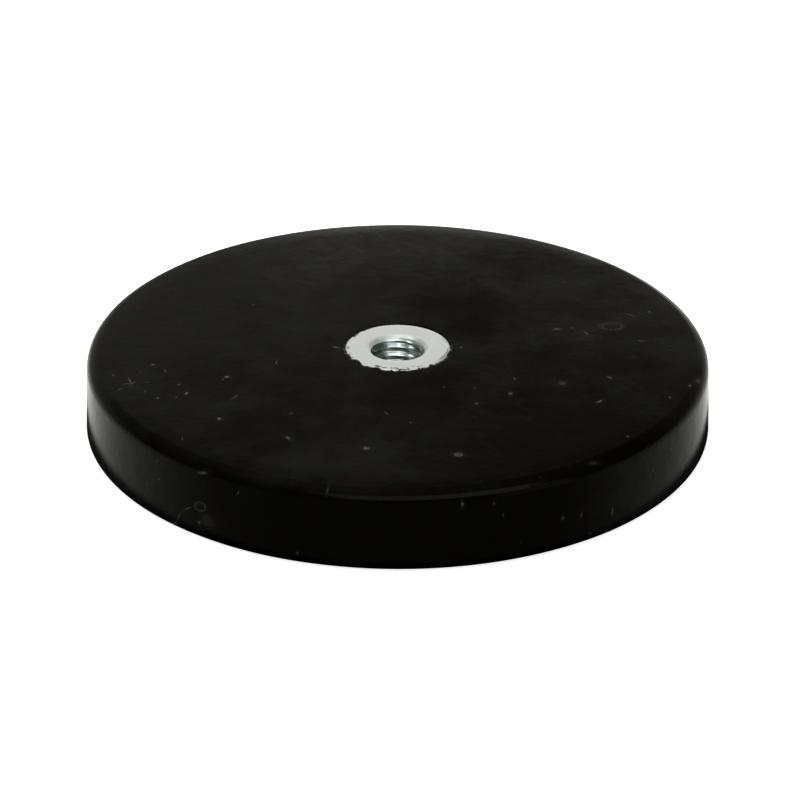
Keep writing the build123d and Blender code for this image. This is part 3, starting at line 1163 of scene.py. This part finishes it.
def see_through(tree, share, shader):
    """Ends a sheet's tree in a shader that lets a share of what is behind it through."""
    clear = add_node(tree, "ShaderNodeBsdfTransparent").outputs[0]
    shown = add_node(tree, "ShaderNodeMixShader", {0: share, 1: shader, 2: clear}).outputs[0]
    add_node(tree, "ShaderNodeOutputMaterial", {"Surface": shown})


def floor_material():
    """Plain pale floor that is seen from above only."""
    material, tree = bare_material("Pale floor")
    paint = add_node(tree, "ShaderNodeBsdfDiffuse", {"Color": (0.9, 0.9, 0.9, 1)}).outputs[0]
    glow = add_node(tree, "ShaderNodeEmission", {
        "Color": (1.0, 1.0, 0.995, 1), "Strength": 0.85}).outputs[0]
    lit = add_node(tree, "ShaderNodeAddShader", {0: paint, 1: glow}).outputs[0]
    see_through(tree, add_node(tree, "ShaderNodeNewGeometry").outputs["Backfacing"], lit)
    return material


def shade_material(inner, outer):
    """The dark round the foot, which fades out away from it."""
    material, tree = bare_material("Foot shade")
    away = vector_calc(tree, "LENGTH", place_in_mm(tree))
    dark = add_node(tree, "ShaderNodeBsdfDiffuse", {"Color": (0.01, 0.01, 0.01, 1)}).outputs[0]
    see_through(tree, between(tree, away, inner / MM, outer / MM, smooth=True), dark)
    return material


def card_material():
    """Soft light, brighter low in the card's middle, that fades upwards later on its left."""
    material, tree = bare_material("Bounce card")
    parts = xyz(tree, place_in_mm(tree))
    top = CARD_TALL / MM
    low = between(tree, parts["Z"], top / 4, top / 2, 1.0, 0.0, smooth=True)
    high = between(tree, parts["Z"], 0.4 * top, top, 1.0, 0.0, smooth=True)
    leftmost = between(tree, parts["X"], -60.0, 10.0, 0.8, 0.0)
    light = calc(tree, "MAXIMUM", low, product(tree, high, leftmost))
    bright = product(
        tree, between(tree, parts["Z"], 17.0, 25.0, 1.0, 0.0, smooth=True),
        between(tree, parts["X"], -25.0, -5.0, smooth=True),
        between(tree, parts["X"], 45.0, 65.0, 1.0, 0.0, smooth=True))
    glow = add_node(tree, "ShaderNodeEmission", {
        "Color": (1.0, 0.97, 0.9, 1),
        "Strength": between(tree, bright, 0.0, 1.0, 0.45, 1.8)}).outputs[0]
    see_through(tree, calc(tree, "SUBTRACT", 1.0, light), glow)
    return material


def ramp(tree, value, stops, tint=(1, 1, 1)):
    """A tint whose brightness follows a value through (position, brightness) stops."""
    made = add_node(tree, "ShaderNodeValToRGB", {"Fac": value})
    points = made.color_ramp.elements
    while len(points) < len(stops):
        points.new(1.0)
    for point, (position, level) in zip(points, stops):
        point.position = position
        point.color = (*(level * channel for channel in tint), 1)
    return made.outputs["Color"]


def set_world():
    """Plain pale studio: pale ground, a cove low behind and a dim room around."""
    world = bpy.data.worlds.new("Studio")
    bpy.context.scene.world = world
    world.use_nodes = True
    tree = world.node_tree
    tree.nodes.clear()
    ray = add_node(tree, "ShaderNodeTexCoord").outputs["Generated"]
    up = xyz(tree, ray)["Z"]
    level = vector_calc(tree, "MULTIPLY", ray, (1, 1, 0))
    compass = xyz(tree, vector_calc(tree, "NORMALIZE", level))
    back = compass["Y"]
    gain = between(tree, compass["X"], -1.0, 1.0, GROUND_LEFT, GROUND_RIGHT)
    ground = ramp(tree, between(tree, back, -1.0, 1.0), GROUND_LIGHT, GROUND_TINT)
    ground = vector_calc(tree, "SCALE", ground, scale=gain)
    height = between(tree, up, 0.0, 1.0)
    sky = mix(tree, between(tree, back, 0.0, 0.85, smooth=True),
              ramp(tree, height, SKY_LIGHT), ramp(tree, height, COVE_LIGHT, COVE_TINT))
    room = mix(tree, between(tree, up, -0.03, 0.03, smooth=True), ground, sky)
    seen = add_node(tree, "ShaderNodeLightPath").outputs["Is Camera Ray"]
    shown = mix(tree, seen, room, (1.0, 1.0, 1.0, 1))
    glow = add_node(tree, "ShaderNodeBackground", {"Color": shown}).outputs[0]
    add_node(tree, "ShaderNodeOutputWorld", {"Surface": glow})


def add_softbox(name, place, aim, size, power, mirrored, only=None):
    """An area light that faces a point. It shows in gloss only if it is mirrored."""
    light = bpy.data.lights.new(name, "AREA")
    light.shape = "RECTANGLE"
    light.size, light.size_y = size
    light.energy = power
    box = bpy.data.objects.new(name, light)
    box.location = place
    box.rotation_euler = (Vector(aim) - Vector(place)).to_track_quat("-Z", "Y").to_euler()
    box.visible_camera = False
    box.visible_glossy = mirrored
    if only:
        box.visible_diffuse = False
        lit = bpy.data.collections.new(name)
        lit.objects.link(bpy.data.objects[only])
        box.light_linking.receiver_collection = lit
    bpy.context.scene.collection.objects.link(box)


def add_stage_piece(name, places, faces, material):
    """A sheet of the stage, which isn't part of the object and casts no shadow."""
    mesh = bpy.data.meshes.new(name)
    mesh.from_pydata(places, [], faces)
    mesh.materials.append(material)
    sheet = bpy.data.objects.new(name, mesh)
    sheet.visible_shadow = False
    bpy.context.scene.collection.objects.link(sheet)
    return sheet


def add_floor(side):
    """The pale floor, which only the camera sees."""
    half = side / 2
    corners = [(-half, -half, 0), (half, -half, 0), (half, half, 0), (-half, half, 0)]
    floor = add_stage_piece("Floor", corners, [(0, 1, 2, 3)], floor_material())
    floor.visible_glossy = False
    floor.visible_diffuse = False


def add_foot_shade():
    """The dark that the wall mirrors where it meets the floor."""
    foot = JACKET_HIGH.x
    inner, outer = foot - SHADE_IN, foot + SHADE_OUT
    steps = 96
    turns = around(steps)
    places = [at(radius, turn, 20 * TINY) for radius in (inner, outer) for turn in turns]
    faces = [
        (step, (step + 1) % steps, (step + 1) % steps + steps, step + steps)
        for step in range(steps)
    ]
    shade = add_stage_piece(
        "Foot_shade", places, faces, shade_material(foot + SHADE_FULL, outer))
    shade.visible_camera = False


def add_bounce_card():
    """The low pale card behind, which the back of the top face mirrors."""
    ends = [(-CARD_HALF, CARD_LEFT_Y), (CARD_HALF, CARD_RIGHT_Y)]
    corners = [(x, y, 0) for x, y in ends] + [(x, y, CARD_TALL) for x, y in reversed(ends)]
    card = add_stage_piece("Bounce_card", corners, [(0, 1, 2, 3)], card_material())
    card.visible_camera = False


def add_camera(s):
    """The camera, which looks down at the magnet from the front."""
    camera = bpy.data.cameras.new("Camera")
    camera.lens = s.lens
    camera.sensor_width = SENSOR_WIDTH
    camera.clip_start = 10 * MM
    view = bpy.data.objects.new("Camera", camera)
    view.matrix_world = (
        Matrix.Translation(s.camera_place)
        @ Matrix.Rotation(math.pi / 2 - s.camera_down, 4, "X")
        @ Matrix.Rotation(s.camera_roll, 4, "Z")
    )
    bpy.context.scene.collection.objects.link(view)
    bpy.context.scene.camera = view


class POTMAGNET_OT_stage(bpy.types.Operator):
    """Sets the pale floor, the soft light and the camera"""

    bl_idname = "potmagnet.stage"
    bl_label = "Studio Stage"

    def execute(self, context):
        s = context.scene.potmagnet_stage
        add_floor(s.floor_side)
        add_foot_shade()
        add_bounce_card()
        set_world()
        for only, lights in ((None, LIGHTS), ("Threaded_bush", BORE_LIGHTS)):
            for name, setup in lights.items():
                add_softbox(name, *setup, only=only)
        add_camera(s)
        context.scene.view_settings.view_transform = "Standard"
        return {"FINISHED"}


# --- Add-on ----------------------------------------------------------------------------


class POTMAGNET_PT_panel(bpy.types.Panel):
    bl_idname = "POTMAGNET_PT_panel"
    bl_label = "Rubber-Coated Pot Magnet"
    bl_space_type = "VIEW_3D"
    bl_region_type = "UI"
    bl_category = "Pot Magnet"

    def draw(self, context):
        for owner, operators in SECTIONS:
            box = self.layout.box()
            settings = getattr(context.scene, owner)
            for name in settings.bl_rna.properties.keys():
                if name not in ("rna_type", "name"):
                    box.prop(settings, name)
            for operator in operators:
                box.operator(operator.bl_idname)


SETTINGS = {
    "potmagnet_jacket": JacketSettings,
    "potmagnet_bush": BushSettings,
    "potmagnet_inside": InsideSettings,
    "potmagnet_stage": StageSettings,
}
SECTIONS = [
    ("potmagnet_jacket", [POTMAGNET_OT_rubber_jacket]),
    ("potmagnet_bush", [POTMAGNET_OT_threaded_bush]),
    ("potmagnet_inside", [POTMAGNET_OT_backing_plate, POTMAGNET_OT_disc_magnets]),
    ("potmagnet_stage", [POTMAGNET_OT_stage]),
]
CLASSES = [
    *SETTINGS.values(),
    *(operator for _, operators in SECTIONS for operator in operators),
    POTMAGNET_PT_panel,
]


def register():
    for cls in CLASSES:
        bpy.utils.register_class(cls)
    for owner, settings in SETTINGS.items():
        setattr(bpy.types.Scene, owner, PointerProperty(type=settings))


def unregister():
    for owner in SETTINGS:
        delattr(bpy.types.Scene, owner)
    for cls in reversed(CLASSES):
        bpy.utils.unregister_class(cls)


def main():
    """Makes every piece and the stage."""
    register()
    bpy.ops.potmagnet.rubber_jacket()
    bpy.ops.potmagnet.threaded_bush()
    bpy.ops.potmagnet.backing_plate()
    bpy.ops.potmagnet.disc_magnets()
    bpy.ops.potmagnet.stage()


if __name__ == "__main__":
    main()
